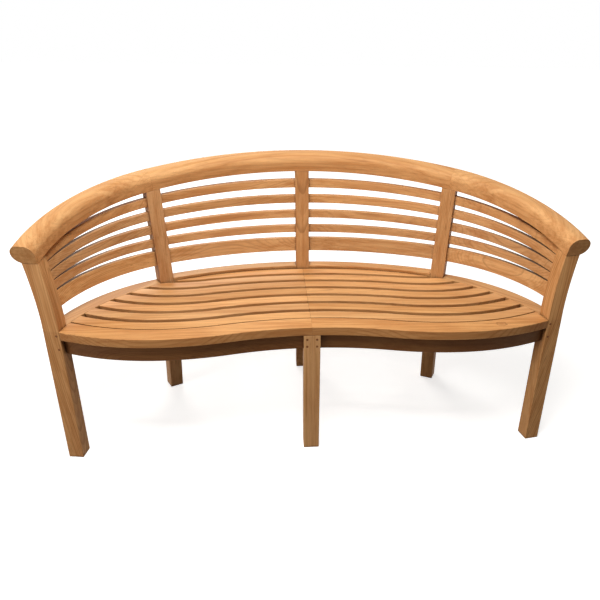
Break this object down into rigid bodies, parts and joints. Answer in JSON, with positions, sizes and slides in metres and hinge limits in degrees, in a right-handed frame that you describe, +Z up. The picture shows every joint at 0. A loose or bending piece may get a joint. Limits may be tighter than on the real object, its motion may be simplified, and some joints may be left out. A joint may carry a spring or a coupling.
{
  "type": "curved garden bench",
  "caption": "Curved wooden garden bench with a slatted seat, a hollow kidney-shaped front edge and a slatted wrap-around back under a scroll top rail.",
  "frame": {"origin": "on the ground, under the middle of the bench's bounding box", "axes": "+Z up, +X along the bench to the viewer's right from the front, -Y out of the front of the seat"},
  "size_m": [1.597, 0.626, 0.8325],
  "materials": {
    "teak_rail": "satin",
    "teak_post": "satin",
    "teak_back_slat": "satin",
    "teak_seat": "satin",
    "teak_apron": "satin",
    "teak_peg": "matt",
    "screw_steel": "brushed"
  },
  "bodies": {
    "root": {"back_post_left": "teak_post", "back_post_middle": "teak_post", "back_post_right": "teak_post", "back_slat_back_1_left": "teak_back_slat", "back_slat_back_1_right": "teak_back_slat", "back_slat_back_2_left": "teak_back_slat", "back_slat_back_2_right": "teak_back_slat", "back_slat_back_3_left": "teak_back_slat", "back_slat_back_3_right": "teak_back_slat", "back_slat_back_4_left": "teak_back_slat", "back_slat_back_4_right": "teak_back_slat", "back_slat_back_5_left": "teak_back_slat", "back_slat_back_5_right": "teak_back_slat", "back_slat_side_1_left": "teak_back_slat", "back_slat_side_1_right": "teak_back_slat", "back_slat_side_2_left": "teak_back_slat", "back_slat_side_2_right": "teak_back_slat", "back_slat_side_3_left": "teak_back_slat", "back_slat_side_3_right": "teak_back_slat", "back_slat_side_4_left": "teak_back_slat", "back_slat_side_4_right": "teak_back_slat", "back_slat_side_5_left": "teak_back_slat", "back_slat_side_5_right": "teak_back_slat", "bearer_middle": "teak_apron", "bearer_side_left": "teak_apron", "bearer_side_right": "teak_apron", "end_post_left": "teak_post", "end_post_right": "teak_post", "front_apron_left": "teak_apron", "front_apron_right": "teak_apron", "front_board_left": "teak_seat", "front_board_right": "teak_seat", "front_leg": "teak_post", "pegs": "teak_peg", "rear_apron_back_left": "teak_apron", "rear_apron_back_right": "teak_apron", "rear_apron_side_left": "teak_apron", "rear_apron_side_right": "teak_apron", "rear_board_back_left": "teak_seat", "rear_board_back_right": "teak_seat", "rear_board_side_left": "teak_seat", "rear_board_side_right": "teak_seat", "seat_screws": "screw_steel", "seat_slat_1_left": "teak_seat", "seat_slat_1_right": "teak_seat", "seat_slat_2_left": "teak_seat", "seat_slat_2_right": "teak_seat", "seat_slat_3_left": "teak_seat", "seat_slat_3_right": "teak_seat", "seat_slat_4_left": "teak_seat", "seat_slat_4_right": "teak_seat", "seat_slat_5_left": "teak_seat", "seat_slat_5_right": "teak_seat", "seat_slat_6_left": "teak_seat", "seat_slat_6_right": "teak_seat", "seat_slat_7_left": "teak_seat", "seat_slat_7_right": "teak_seat", "top_rail_left": "teak_rail", "top_rail_middle": "teak_rail", "top_rail_right": "teak_rail"}
  },
  "joints": []
}
